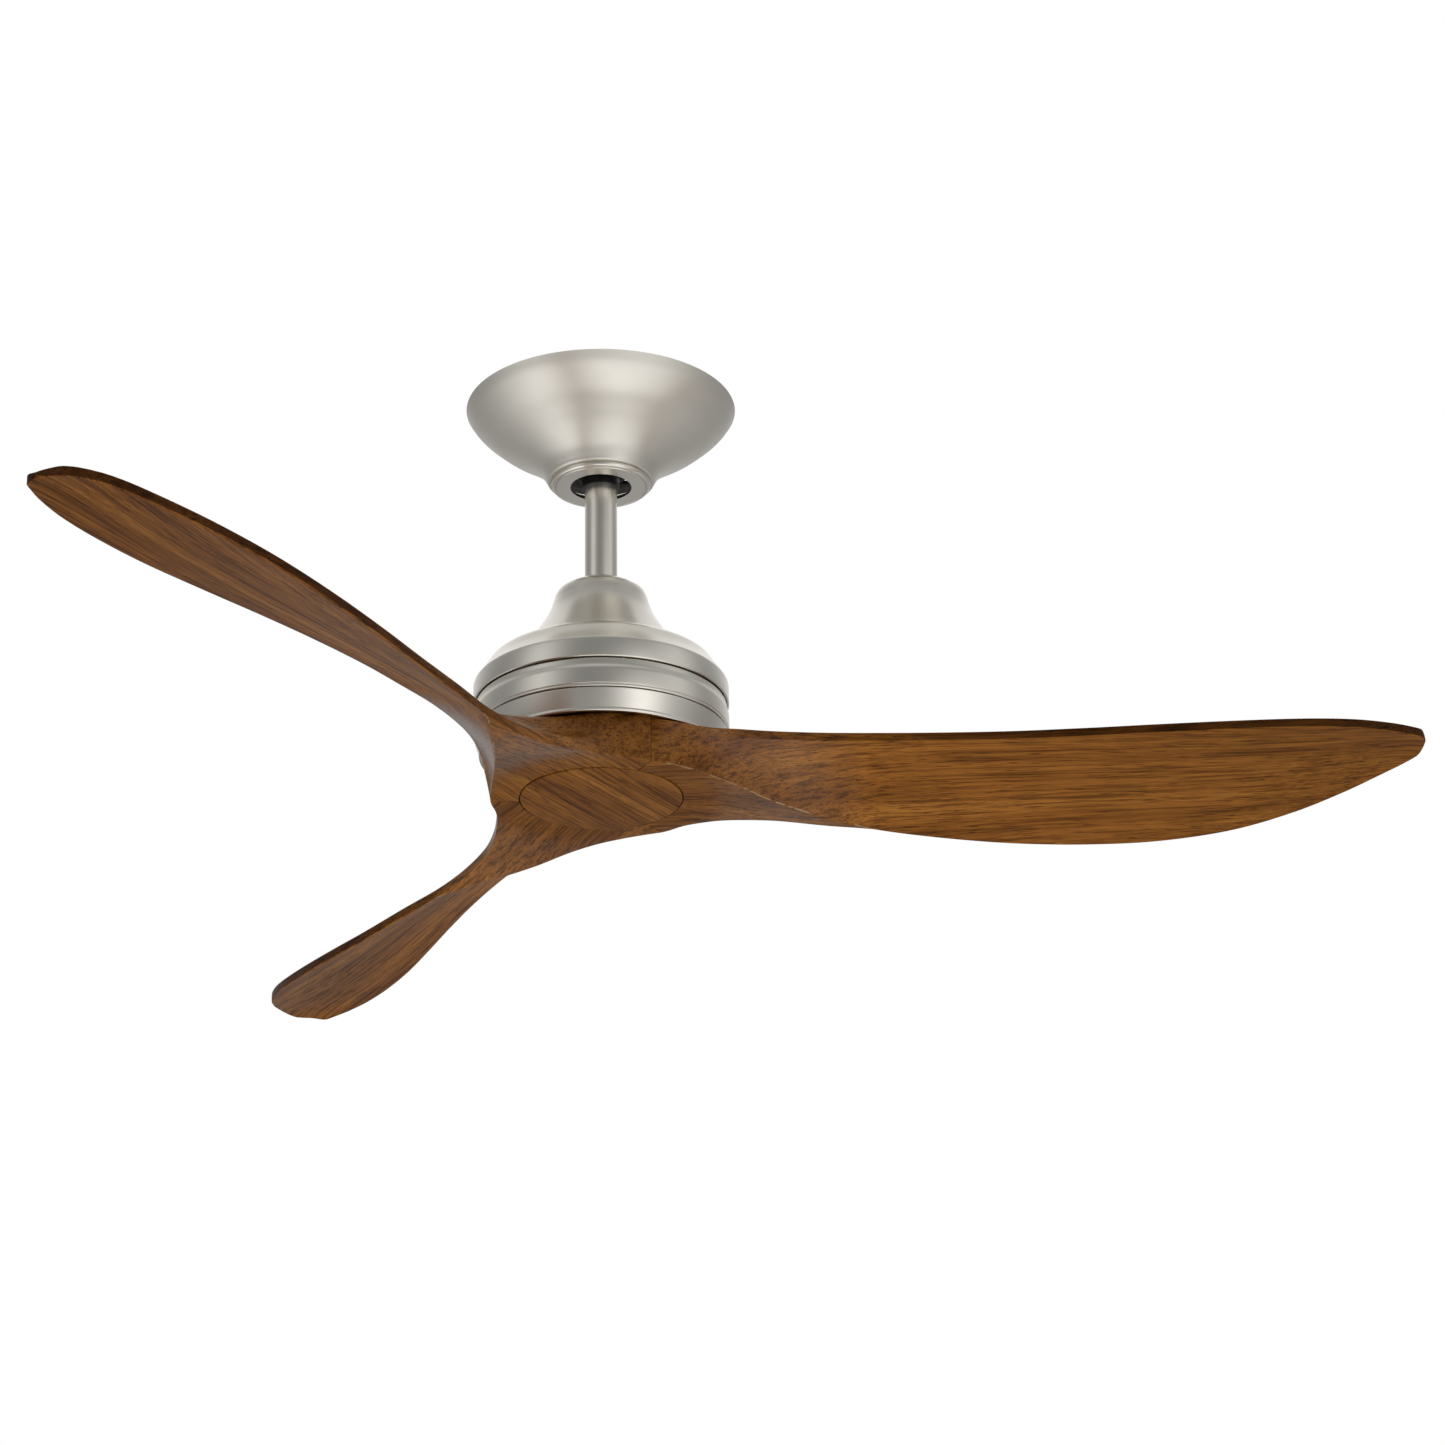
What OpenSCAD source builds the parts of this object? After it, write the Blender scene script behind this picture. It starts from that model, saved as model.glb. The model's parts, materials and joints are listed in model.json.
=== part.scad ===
// Three-blade ceiling fan on a short downrod.
// Origin: centre of the bracket's top face, in the ceiling plane. +Z up, the fan hangs to -Z.
// Blade B's axis lies near +X, blades A and C follow at 120 degrees.

/* [Size] */
// Tip radius of the blades
sweep_r = 660; // [640:5:680]
// Depth from the ceiling to the underside of the hub
hub_z = -350; // [-380:5:-350]
// Turn of the rotor about the fan's axis
blade_turn = -4; // [-60:1:60]

/* [Canopy] */
// Radius of the canopy at the ceiling
canopy_r = 112.5; // [105:0.5:118]
// Radius of the canopy's collar
collar_r = 45.5; // [45:0.5:47]
// Radius of the hole round the downrod
rod_hole_r = 25.3; // [25:0.1:28]
// Thickness of spun sheet covers
sheet = 1.4; // [1.2:0.1:1.6]

/* [Hanger] */
// Distance between the bracket's two ceiling screws
slot_spacing = 89; // [80:1:92]
// Width of the bracket's ceiling slots
slot_w = 5; // [4.5:0.5:6]
// Length of the bracket's ceiling slots
slot_l = 14; // [10:1:16]
// Radius of the hanger ball
ball_r = 30; // [29:0.5:30]
// Depth of the ball's centre below the ceiling
ball_z = -38; // [-39:0.5:-38]
// Outer diameter of the downrod
rod_d = 26.7; // [26.7:0.1:26.9]
// Length of the downrod
rod_l = 152.4; // [152.4]

/* [Motor] */
// Outer radius of the housing bands
housing_r = 104; // [104:0.5:106]
// Radius of the motor shaft
shaft_r = 7.5; // [7.5]
// Number of stator teeth
stator_teeth = 12; // [9:3:12]
// Number of rotor magnets
magnet_count = 14; // [10:2:16]

/* [Blades] */
// Radius of the round cap under the hub
cap_r = 65.5; // [64:0.5:65.5]
// Thickness of the wood cap
cap_t = 5; // [4:0.5:5]
// Vertical thickness of a blade beyond its root
blade_t = 7.8; // [6:0.2:9]
// Gap left at each seam between blade roots
seam = 0.4; // [0.3:0.1:0.8]

/* [Hidden] */
$fn = 96;
eps = 0.01;

// colours
nickel = [0.72, 0.70, 0.66];
zinc = [0.78, 0.79, 0.80];
wood = [0.45, 0.24, 0.09];
black = [0.08, 0.08, 0.09];
copper = [0.75, 0.42, 0.22];

// hanger
plate_t = 3;
rod_r = rod_d / 2;
rod_bore = 10.5;
rod_top = ball_z + 11;
rod_bottom = rod_top - rod_l;
cradle_z = ball_z - 18;
cradle_r = 38;
arm_y = 33;
pin_r = 3;
clevis_z = rod_bottom + 8.4;
set_screw_z = rod_bottom + 3.4;
collar_z = -63;
ring_face_z = -70.4;

// coupling and housing heights
bell_top = -158.5;
yoke_top = clevis_z + 9;
housing_top_z = hub_z + 125.4;
band_top_z = hub_z + 81;
lower_top_z = hub_z + 54;
lip_z = hub_z + 36;
lip_r = 99;
yoke_flange_t = 6.6;

// motor heights
upper_bearing_z = hub_z + 108.5;
lower_bearing_z = hub_z + 44.5;
bearing_w = 11;
stack_z = hub_z + 58;
stack_h = 30;
split_z = hub_z + 72;
rotor_bottom = hub_z + 36.5;
rotor_top = hub_z + 105;
plate_bottom = hub_z + 33;
cover_r = 86;
flange_r = 92;
plate_r = 85;

// bearing
race_in = 10.6;
race_out = 14.9;
bearing_r = 17.5;
ball_pitch = (race_in + race_out) / 2;
bead_r = 2.9;
groove_r = 3;

// hub underside
recess_top = hub_z + 16;
recess_r = cap_r + 0.8;
hub_hole_r = 24;
pocket_r = cover_r + 0.6;
blade_screw_r = 50;
blade_screw_a = 22;
carrier_r = 36;
cap_top = hub_z + cap_t;
cap_plate_z = hub_z + 12;

// ---------- shared functions ----------

// slope of list p against list x at index i
function slope(x, p, i) =
    let (a = max(i - 1, 0), b = min(i + 1, len(x) - 1))
    (p[b] - p[a]) / (x[b] - x[a]);

// smooth curve through the points (x[i], p[i]) at a place t of segment i
function hermite(x, p, i, t) =
    let (h = x[i + 1] - x[i], m0 = slope(x, p, i) * h, m1 = slope(x, p, i + 1) * h)
    (2 * t * t * t - 3 * t * t + 1) * p[i] + (t * t * t - 2 * t * t + t) * m0
    + (3 * t * t - 2 * t * t * t) * p[i + 1] + (t * t * t - t * t) * m1;

function column(table, k) = [for (row = table) row[k]];

// smooth outline through (radius, height) points, n steps for each stretch
function smooth(points, n) = let (z = column(points, 1), r = column(points, 0))
    concat([for (i = [0 : len(points) - 2]) for (s = [0 : n - 1])
        let (t = s / n) [hermite(z, r, i, t), z[i] + (z[i + 1] - z[i]) * t]],
        [points[len(points) - 1]]);

function reversed(list) = [for (i = [len(list) - 1 : -1 : 0]) list[i]];
function inset(points, t) = [for (p = points) [p[0] - t, p[1]]];

module ring(r_out, r_in, z0, z1) {
    translate([0, 0, z0])
        difference() {
            cylinder(r = r_out, h = z1 - z0);
            translate([0, 0, -1]) cylinder(r = r_in, h = z1 - z0 + 2);
        }
}

module rod_between(r, z0, z1) {
    translate([0, 0, z0]) cylinder(r = r, h = z1 - z0);
}

module around(count, start = 0) {
    for (i = [0 : count - 1]) rotate([0, 0, start + i * 360 / count]) children();
}

function unit(v) = v / norm(v);

// eight points round p, square to the direction d
function loop(p, d, r) = let (u = unit(cross(d, [0.2, 1, 0.3])), v = cross(d, u))
    [for (a = [0 : 45 : 315]) p + r * (cos(a) * u + sin(a) * v)];

// insulated wire along a route of points
module wire(route, r) {
    last = len(route) - 1;
    loops = [for (i = [0 : last])
        let (back = route[i] - route[max(i - 1, 0)], ahead = route[min(i + 1, last)] - route[i])
        loop(route[i], unit((i > 0 ? unit(back) : [0, 0, 0]) + (i < last ? unit(ahead) : [0, 0, 0])), r)];
    skin(loops);
}

function centre(points) = ([for (p = points) 1] * points) / len(points);

// closed solid through rings of points, each ring with the same count
module skin(rings) {
    n = len(rings[0]);
    m = len(rings);
    walls = [for (i = [0 : m - 2]) for (j = [0 : n - 1]) let (k = (j + 1) % n)
        each [[i * n + j, (i + 1) * n + k, i * n + k], [i * n + j, (i + 1) * n + j, (i + 1) * n + k]]];
    base = (m - 1) * n;
    first = [for (j = [0 : n - 1]) [m * n, j, (j + 1) % n]];
    last = [for (j = [0 : n - 1]) [m * n + 1, base + (j + 1) % n, base + j]];
    ends = [centre(rings[0]), centre(rings[m - 1])];
    polyhedron(
        points = concat([for (r = rings) each r], ends),
        faces = concat(walls, first, last),
        convexity = 4);
}

// pan-head screw, head below, shank pointing up from z = 0
module screw_up(r, length, head_r, head_h) {
    difference() {
        union() {
            translate([0, 0, -head_h]) cylinder(r = head_r, h = head_h);
            cylinder(r = r, h = length);
        }
        for (a = [0, 90])
            rotate([0, 0, a])
                translate([-head_r * 0.6, -0.5, -head_h - 1]) cube([head_r * 1.2, 1, 2]);
    }
}

module bearing_inner(z) {
    translate([0, 0, z])
        rotate_extrude()
            difference() {
                translate([shaft_r, -bearing_w / 2]) square([race_in + 0.8 - shaft_r, bearing_w]);
                translate([ball_pitch, 0]) circle(r = groove_r);
            }
}

module bearing_outer(z) {
    translate([0, 0, z])
        rotate_extrude()
            difference() {
                translate([race_out - 0.8, -bearing_w / 2])
                    square([bearing_r - race_out + 0.8, bearing_w]);
                translate([ball_pitch, 0]) circle(r = groove_r);
            }
}

module bearing_balls(z) {
    translate([0, 0, z])
        around(8) translate([ball_pitch, 0, 0]) sphere(r = bead_r);
}

// ---------- fixed to the ceiling ----------

module hanger_bracket() {
    arm_w = 26;
    plate_w = 34;
    plate_l = slot_spacing + 26;
    color(black)
        difference() {
            union() {
                translate([-plate_l / 2, -arm_y - plate_t, -plate_t])
                    cube([plate_l, 2 * (arm_y + plate_t), plate_t]);
                for (side = [-1, 1])
                    translate([-arm_w / 2, side > 0 ? arm_y : -arm_y - plate_t, cradle_z])
                        cube([arm_w, plate_t, -cradle_z]);
                rod_between(cradle_r, cradle_z - plate_t, cradle_z + eps);
            }
            for (side = [-1, 1])
                translate([side * slot_spacing / 2, 0, -plate_t - 1]) {
                    for (end = [-1, 1])
                        translate([end * (slot_l - slot_w) / 2, 0, 0])
                            cylinder(d = slot_w, h = plate_t + 2);
                    translate([-(slot_l - slot_w) / 2, -slot_w / 2, 0])
                        cube([slot_l - slot_w, slot_w, plate_t + 2]);
                }
            for (side = [-1, 1])
                translate([-plate_l / 2 - 1, side > 0 ? plate_w / 2 : -arm_y - plate_t - 1, -plate_t - 1])
                    cube([plate_l / 2 - arm_w / 2 + 1, arm_y, plate_t + 2]);
            for (side = [-1, 1])
                translate([arm_w / 2, side > 0 ? plate_w / 2 : -arm_y - plate_t - 1, -plate_t - 1])
                    cube([plate_l / 2 + 1, arm_y, plate_t + 2]);
            translate([0, 0, ball_z]) sphere(r = ball_r + 0.3);
            translate([0, -15, cradle_z - plate_t - 1]) cube([cradle_r + 2, 30, plate_t + 2]);
            translate([0, 0, -plate_t - 1]) cylinder(r = 14, h = plate_t + 2);
            for (side = [-1, 1])
                translate([0, side * 34.5, cradle_z - plate_t - 1]) cylinder(r = 1.9, h = 12);
            translate([-40, 10, -plate_t - 1]) cylinder(r = 2.02, h = plate_t + 2);
        }
    // key that stops the ball from turning
    color(black)
        translate([-cradle_r + 1, -2, cradle_z - plate_t])
            cube([10, 4, 12]);
}

canopy_outline = [
    [canopy_r, 0], [canopy_r - 5.5, -8], [canopy_r - 13.5, -16], [canopy_r - 23, -24],
    [canopy_r - 35, -32], [canopy_r - 46.5, -40], [collar_r + 11, -48], [collar_r + 4.5, -55],
    [collar_r - 0.2, collar_z]
];

module canopy() {
    outer = smooth(canopy_outline, 4);
    floor_z = collar_z - 1.2;
    color(nickel)
        difference() {
            rotate_extrude()
                polygon(concat(
                    outer,
                    [[collar_r - 0.8, collar_z - 1.4], [collar_r - 1.8, collar_z - 2.5],
                     [collar_r - 2.8, collar_z - 3], [collar_r - 3.4, collar_z - 2.8],
                     [collar_r - 3.4, floor_z - 1.2], [30, floor_z - 1.2], [30, floor_z]],
                    reversed(inset(outer, sheet + 0.4))));
            for (side = [-1, 1])
                translate([0, side * 34.5, floor_z - 3]) cylinder(r = 2.1, h = 5);
        }
}

module canopy_screws() {
    color(zinc)
        for (side = [-1, 1])
            translate([0, side * 34.5, collar_z - 2.4]) screw_up(1.9, 10, 3.4, 2);
}

module canopy_ring() {
    ring_r = collar_r - 4.2;
    top = collar_z - 2.4;
    color(nickel)
        rotate_extrude()
            polygon([
                [ring_r, top], [ring_r, ring_face_z + 3], [ring_r - 0.5, ring_face_z + 1.8],
                [ring_r - 1.4, ring_face_z + 0.9], [ring_r - 2.6, ring_face_z + 0.5],
                [ring_r - 3.5, ring_face_z + 1.2], [ring_r - 4.1, ring_face_z + 0.3],
                [ring_r - 5, ring_face_z], [rod_hole_r + 0.5, ring_face_z],
                [rod_hole_r, ring_face_z + 0.4], [rod_hole_r, ring_face_z + 1.4],
                [ring_r - 4.6, ring_face_z + 1.6], [ring_r - 3.5, ring_face_z + 2.6],
                [ring_r - 2, ring_face_z + 2.4], [ring_r - 1.4, ring_face_z + 3.2], [ring_r - 1.4, top]
            ]);
}

module receiver() {
    color(black)
        translate([30, -19, -26])
            difference() {
                cube([46, 38, 22]);
                for (i = [0 : 4]) translate([8 + i * 7, -1, -1]) cube([2, 40, 2]);
            }
}

module receiver_lead() {
    color(black) {
        wire([[29.9, 12, -14], [26, 12, -14], [20, 11, -11], [15, 10, -8], [10, 9, -8]], 2);
        translate([1, 4, -11]) cube([10, 10, 7.5]);
    }
}

lead_ends = [[-58, 12, -16], [-62, 0, -16], [-58, -12, -16]];

module supply_leads() {
    color(copper)
        for (e = lead_ends)
            wire([
                e - [3, 0, 0], e + [8, 0, 0.5], e + [16, 0, 4], e + [24, 0, 9.5], e + [46, 0, 10.5]
            ], 1.3);
}

module wire_nuts() {
    color([0.75, 0.35, 0.1])
        for (e = lead_ends)
            translate(e)
                rotate([0, -90, 0])
                    difference() {
                        cylinder(r1 = 4.6, r2 = 3, h = 16);
                        translate([0, 0, -1]) cylinder(r = 1.4, h = 5);
                    }
}

module ground_screw() {
    color([0.2, 0.5, 0.25])
        translate([-40, 10, -plate_t]) screw_up(2, plate_t - 0.2, 3.6, 2);
}

// ---------- hanging part ----------

module hanger_ball() {
    neck_r = 15.8;
    color(black)
        difference() {
            union() {
                translate([0, 0, ball_z])
                    intersection() {
                        sphere(r = ball_r);
                        translate([-ball_r, -ball_r, -27]) cube([2 * ball_r, 2 * ball_r, 45]);
                    }
                rod_between(neck_r, ring_face_z - 2, ball_z - 20);
            }
            rod_between(rod_r, ball_z - 40, ball_z + 30);
            // groove for the bracket's key
            translate([-ball_r - 5, -2.4, ball_z - 40]) cube([14, 4.8, 60]);
            // seat of the cross pin
            translate([0, 24, ball_z]) rotate([90, 0, 0]) cylinder(r = pin_r, h = 48);
            translate([0, 0, ball_z + 8]) rotate([0, 90, 0]) cylinder(r = 2.5, h = 40);
        }
}

module ball_pin() {
    color(zinc)
        translate([0, 22, ball_z]) rotate([90, 0, 0]) cylinder(r = pin_r, h = 44);
}

module ball_set_screw() {
    color(zinc)
        translate([rod_r, 0, ball_z + 8])
            rotate([0, 90, 0])
                difference() {
                    cylinder(r = 2.5, h = 11);
                    translate([0, 0, 8.5]) cylinder(r = 1.4, h = 4, $fn = 6);
                }
}

module downrod() {
    color(nickel)
        difference() {
            ring(rod_r, rod_bore, rod_bottom, rod_top);
            for (z = [ball_z, clevis_z])
                translate([0, 20, z]) rotate([90, 0, 0]) cylinder(r = pin_r, h = 40);
        }
}

lead_x = 6.6;
lead_r = 2.4;
window_z = hub_z + 96;
window_r = 2.9;
module motor_lead() {
    color(black)
        wire([
            [32, 0, stack_z + stack_h + lead_r], [24, 0, window_z], [2, 0, window_z],
            [2, 0, rod_bottom - 20], [lead_x, 0, rod_bottom - 4], [lead_x, 0, rod_top + 6]
        ], lead_r);
}

module lead_connector() {
    color([0.85, 0.85, 0.8])
        translate([lead_x - 5, -5, rod_top + 6])
            difference() {
                cube([10, 10, 5]);
                for (y = [2.5, 5, 7.5]) translate([5, y, 2]) cylinder(r = 0.8, h = 4);
            }
}

bell_outline = [
    [17, bell_top], [23, -160.5], [30.5, -164.5], [35.4, -168], [37.6, -172], [39.6, -179],
    [42.4, -187], [47, -196], [54.5, -208], [64, -222], [64.5, -224.6]
];
bell_shift = [0, 0, hub_z + 350];
bell_inner = [
    [64.5 - sheet, -224.6], [62.5, -222], [53, -208.5], [45.5, -196.5], [41, -187.4],
    [38, -179.2], [35.8, -172], [33.8, -168.8], [29.6, -166], [22.6, -162.2], [14.2, -160]
];

module coupling_cover() {
    color(nickel)
        translate(bell_shift)
            rotate_extrude()
                polygon(concat([[14.2, bell_top + 0.4]], smooth(bell_outline, 3), bell_inner));
}

module yoke() {
    yoke_r = 19;
    flange_yoke = 34;
    color(zinc)
        difference() {
            union() {
                rod_between(yoke_r, housing_top_z, yoke_top);
                rod_between(flange_yoke, housing_top_z, housing_top_z + yoke_flange_t);
            }
            rod_between(rod_r, rod_bottom, yoke_top + 1);
            rod_between(rod_bore, rod_bottom - 20, rod_bottom + 1);
            rod_between(shaft_r, housing_top_z - 1, rod_bottom);
            translate([0, 30, clevis_z]) rotate([90, 0, 0]) cylinder(r = pin_r, h = 60);
            translate([-30, 0, set_screw_z]) rotate([0, 90, 0]) cylinder(r = 2.5, h = 60);
            around(4, 45) translate([26, 0, housing_top_z - 1]) cylinder(r = 2.2, h = 12);
        }
}

module clevis_pin() {
    color(zinc)
        difference() {
            union() {
                translate([0, 26, clevis_z]) rotate([90, 0, 0]) cylinder(r = pin_r, h = 45 + eps);
                translate([0, -19, clevis_z]) rotate([90, 0, 0]) cylinder(r = 5, h = 3);
            }
            translate([0, 22, clevis_z - 6]) cylinder(r = 1.02, h = 12);
        }
}

module cotter_pin() {
    eye_r = 2.6;
    color(zinc)
        translate([0, 22, clevis_z]) {
            translate([0, 0, -7]) cylinder(r = 1, h = 14);
            translate([0, 0, -7 - eye_r])
                rotate([90, 0, 0])
                    rotate_extrude() translate([eye_r, 0]) circle(r = 0.9);
        }
}

module coupling_set_screws() {
    color(zinc)
        for (side = [0, 180])
            rotate([0, 0, side])
                translate([rod_r, 0, set_screw_z])
                    rotate([0, 90, 0]) {
                        cylinder(r = 2.5, h = 9);
                        translate([0, 0, 9]) cylinder(r = 4.4, h = 3.4, $fn = 6);
                    }
}

upper_outline = [
    [60, -224.6], [76, -227], [84, -230], [88, -232.4], [90.6, -234], [92.4, -236], [94, -238.6],
    [97, -243.4], [100, -247.6], [102.6, -251]
];

module housing_upper() {
    shift = [0, 0, hub_z + 350];
    edge = housing_r;
    color(nickel)
        translate(shift)
            difference() {
                rotate_extrude()
                    polygon(concat(
                        [[shaft_r + 0.5, -224.6]], upper_outline,
                        [[edge - 0.4, -252.6], [edge, -254.4], [edge, -267.4], [edge - 0.5, -268.7],
                         [edge - 1.5, -269.2], [edge - 2, -268.4], [edge - 2, -256], [edge - 3.2, -252.8],
                         [97.8, -248], [94.6, -243.6], [91.6, -239], [89.6, -236.4], [86.8, -234.2],
                         [83, -232], [75.4, -229], [60, -226.2], [shaft_r + 0.5, -226.2]]));
                around(4, 45) translate([26, 0, -230]) cylinder(r = 2.2, h = 12);
            }
}

module housing_band() {
    edge = housing_r;
    top = band_top_z;
    low = lower_top_z;
    color(nickel)
        rotate_extrude()
            polygon([
                [edge - 2, top + 11.8], [edge - 2, top + 10.4], [edge - 4, top + 10.4],
                [edge - 4, top + 0.2], [edge - 2.4, top - 0.8], [edge - 1.7, top - 2],
                [edge - 1.6, top - 5], [edge - 1.1, top - 7.6], [edge - 0.3, top - 9.4],
                [edge, top - 10.4], [edge, low + 4.4], [edge - 0.6, low + 3.8],
                [edge - 0.2, low + 3], [edge - 0.2, low + 2], [edge - 0.8, low + 1.2],
                [edge - 1.8, low + 0.9], [edge - 2.4, low + 1.6], [edge - 2, low + 2.8],
                [edge - 2, top - 10.4], [edge - 5.6, top - 4], [edge - 5.6, top + 11.8]
            ]);
}

module housing_lower() {
    edge = housing_r;
    low = lower_top_z;
    color(nickel)
        rotate_extrude()
            polygon([
                [edge - 1.4, low + 0.3], [edge - 0.5, low - 0.4], [edge - 0.4, low - 1.6],
                [lip_r - 0.1, lip_z + 2.6], [lip_r + 0.1, lip_z + 1.2], [lip_r - 0.6, lip_z],
                [lip_r - 3, lip_z], [lip_r - 3, lip_z + 1.2], [lip_r - 1.8, lip_z + 1.6],
                [edge - 2.3, low - 2.2], [edge - 4.6, low - 1.6], [edge - 4.6, low + 7],
                [edge - 2, low + 7], [edge - 2, low + 3.6], [edge - 3.4, low + 3.6], [edge - 3.4, low + 0.3]
            ]);
}

module housing_screws() {
    color(zinc)
        around(4, 45)
            translate([26, 0, housing_top_z + yoke_flange_t])
                mirror([0, 0, 1]) screw_up(2.1, 12, 3.8, 2.4);
}

module housing_nuts() {
    color(zinc)
        around(4, 45)
            translate([26, 0, housing_top_z - 5])
                difference() {
                    cylinder(r = 4, h = 3.4, $fn = 6);
                    translate([0, 0, -1]) cylinder(r = 2.12, h = 6);
                }
}

module motor_shaft() {
    tail_r = 6;
    color(zinc)
        difference() {
            union() {
                rod_between(shaft_r, cap_plate_z + 2, rod_bottom - 20);
                rod_between(tail_r, hub_z + 7.4, cap_plate_z + 3);
            }
            rod_between(4.6, stack_z + stack_h - 2, rod_bottom - 19);
            // window for the motor's lead
            translate([0, 0, window_z]) rotate([0, 90, 0]) cylinder(r = window_r, h = 20);
        }
}

module shaft_spacers() {
    color(zinc) {
        ring(10, shaft_r, upper_bearing_z + bearing_w / 2, housing_top_z - 1.6);
        difference() {
            ring(10, shaft_r, stack_z + stack_h, upper_bearing_z - bearing_w / 2);
            translate([0, 0, window_z]) rotate([0, 90, 0]) cylinder(r = window_r, h = 20);
        }
        ring(10, shaft_r, lower_bearing_z + bearing_w / 2, stack_z);
    }
}

module stator_core() {
    color(zinc)
        translate([0, 0, stack_z])
            linear_extrude(height = stack_h)
                difference() {
                    union() {
                        circle(r = 32);
                        around(stator_teeth) translate([28, -4]) square([38, 8]);
                        intersection() {
                            difference() {
                                circle(r = 70);
                                circle(r = 63.5);
                            }
                            around(stator_teeth) translate([60, -15]) square([12, 30]);
                        }
                    }
                    circle(r = shaft_r);
                }
}

module stator_windings() {
    color(copper)
        around(stator_teeth)
            translate([36, 0, stack_z + stack_h / 2])
                difference() {
                    translate([0, -8, -stack_h / 2 - 4.5]) cube([26, 16, stack_h + 9]);
                    translate([-1, -4.1, -stack_h / 2 - 0.1]) cube([28, 8.2, stack_h + 0.2]);
                }
}

module upper_bearing_inner() {
    color(zinc) bearing_inner(upper_bearing_z);
}

module lower_bearing_inner() {
    color(zinc) bearing_inner(lower_bearing_z);
}

module shaft_nut() {
    color(zinc)
        translate([0, 0, cap_plate_z - 4])
            difference() {
                cylinder(r = 10, h = 4, $fn = 6);
                translate([0, 0, -1]) cylinder(r = 6.02, h = 6);
            }
}

module cap_plate() {
    color(zinc)
        translate([0, 0, cap_plate_z])
            difference() {
                cylinder(r = carrier_r - 1, h = 2);
                translate([0, 0, -1]) cylinder(r = 6.02, h = 4);
                around(3) translate([24, 0, -1]) cylinder(r = 3, h = 4);
            }
}

module cap_carrier() {
    color(black) {
        ring(carrier_r, carrier_r - 6, cap_top, cap_plate_z);
        around(3, 30)
            intersection() {
                union() {
                    ring(carrier_r + 2, carrier_r - 0.5, cap_top, cap_plate_z + 3);
                    ring(carrier_r, carrier_r - 3, cap_plate_z + 2, cap_plate_z + 3);
                }
                translate([20, -8, cap_top]) cube([30, 16, 20]);
            }
    }
}

module light_cap() {
    edge = 0.6;
    color(wood)
        rotate_extrude()
            polygon([
                [0, hub_z], [cap_r - edge, hub_z], [cap_r, hub_z + edge], [cap_r, cap_top], [0, cap_top]
            ]);
}

// ---------- turning part ----------

module rotor_cover_top() {
    web = 3;
    color(black)
        difference() {
            union() {
                ring(bearing_r + 3.5, bearing_r, rotor_top - 3, upper_bearing_z + 7);
                ring(cover_r, bearing_r - 2.5, rotor_top - 3, rotor_top);
                ring(cover_r, cover_r - web, split_z, rotor_top);
                ring(flange_r, cover_r - web, split_z, split_z + 3);
            }
            ring(bearing_r, 1, upper_bearing_z - bearing_w / 2, upper_bearing_z + 8);
            around(6) translate([89, 0, split_z - 1]) cylinder(r = 1.6, h = 5);
            around(6, 30) translate([50, 0, rotor_top - 4]) cylinder(r = 7, h = 5);
        }
}

module rotor_cover_bottom() {
    web = 3;
    color(black)
        difference() {
            union() {
                ring(bearing_r + 3.5, bearing_r, rotor_bottom, lower_bearing_z + bearing_w / 2);
                ring(cover_r, bearing_r - 3.5, rotor_bottom, rotor_bottom + 2.5);
                ring(cover_r, cover_r - web, rotor_bottom, split_z);
                ring(flange_r, cover_r - web, split_z - 3, split_z);
            }
            around(6) translate([89, 0, split_z - 4]) cylinder(r = 1.6, h = 5);
            around(6, 15) translate([60, 0, rotor_bottom - 1]) cylinder(r = 2, h = 5);
        }
}

module rotor_ring() {
    color(zinc) ring(cover_r - 3, 75, stack_z - 2, stack_z + stack_h + 2);
}

module rotor_magnets() {
    span = 360 / magnet_count - 3;
    color([0.3, 0.3, 0.32])
        around(magnet_count)
            translate([0, 0, stack_z])
                rotate_extrude(angle = span) translate([71.2, 0]) square([3.8, stack_h]);
}

module rotor_screws() {
    color(zinc)
        around(6) translate([89, 0, split_z - 3]) screw_up(1.55, 6, 2.6, 1.6);
}

module upper_bearing_outer() {
    color(zinc) bearing_outer(upper_bearing_z);
}

module lower_bearing_outer() {
    color(zinc) bearing_outer(lower_bearing_z);
}

module upper_bearing_balls() {
    color(zinc) bearing_balls(upper_bearing_z);
}

module lower_bearing_balls() {
    color(zinc) bearing_balls(lower_bearing_z);
}

module blade_plate() {
    color(black)
        difference() {
            ring(plate_r, hub_hole_r, plate_bottom, rotor_bottom);
            around(6, 15) translate([60, 0, plate_bottom - 1]) cylinder(r = 2, h = 6);
            blade_holes(1.9, plate_bottom - 1, rotor_bottom + 1);
        }
}

module plate_screws() {
    color(zinc)
        around(6, 15)
            translate([60, 0, rotor_bottom + 2.5])
                mirror([0, 0, 1]) screw_up(1.95, 5.8, 3.6, 2);
}

module blade_holes(r, z0, z1) {
    around(3, blade_turn)
        for (side = [-1, 1])
            rotate([0, 0, side * blade_screw_a])
                translate([blade_screw_r, 0, 0]) rod_between(r, z0, z1);
}

module blade_screws() {
    color(zinc)
        around(3, blade_turn)
            for (side = [-1, 1])
                rotate([0, 0, side * blade_screw_a])
                    translate([blade_screw_r, 0, recess_top]) screw_up(1.9, 20, 4.2, 2.4);
}

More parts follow.
